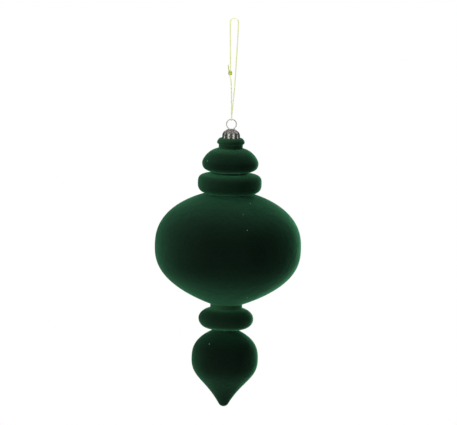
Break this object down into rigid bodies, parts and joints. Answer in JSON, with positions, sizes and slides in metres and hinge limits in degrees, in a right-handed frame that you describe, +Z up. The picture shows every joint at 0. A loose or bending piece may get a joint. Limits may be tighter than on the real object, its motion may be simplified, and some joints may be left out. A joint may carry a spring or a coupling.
{
  "type": "finial ornament",
  "caption": "Flocked finial tree ornament: hollow turned-style body with stacked bulbs and a drop, metal crown cap, sprung wire eye and knotted metallic thread loop.",
  "frame": {"origin": "inside the top of the thread loop, where a hook bears", "axes": "+Z up along the ornament's axis, X across the plane of the wire eye"},
  "size_m": [0.11, 0.11, 0.2944],
  "materials": {
    "metallic_thread": "twisted yellow-gold metallic thread",
    "spring_wire": "bright drawn wire",
    "plated_cap": "drawn sheet, dull nickel plate",
    "moulded_body": "moulded, dark green",
    "green_flock": "dark green velvet flock"
  },
  "bodies": {
    "thread": {"thread_loop": "metallic_thread", "thread_knot": "metallic_thread"},
    "hanger": {"hanger_wire": "spring_wire", "crown_cap": "plated_cap"},
    "finial": {"finial_shell": "moulded_body", "flock_coat": "green_flock"}
  },
  "joints": [
    {"name": "eye_swing", "type": "hinge", "parent": "thread", "child": "hanger", "pos_m": [0, 0, -0.0758], "axis": [1, 0, 0], "range_deg": [-60, 60]},
    {"name": "cap_pull", "type": "slide", "parent": "hanger", "child": "finial", "axis": [0, 0, -1], "range_m": [0, 0.016]}
  ]
}
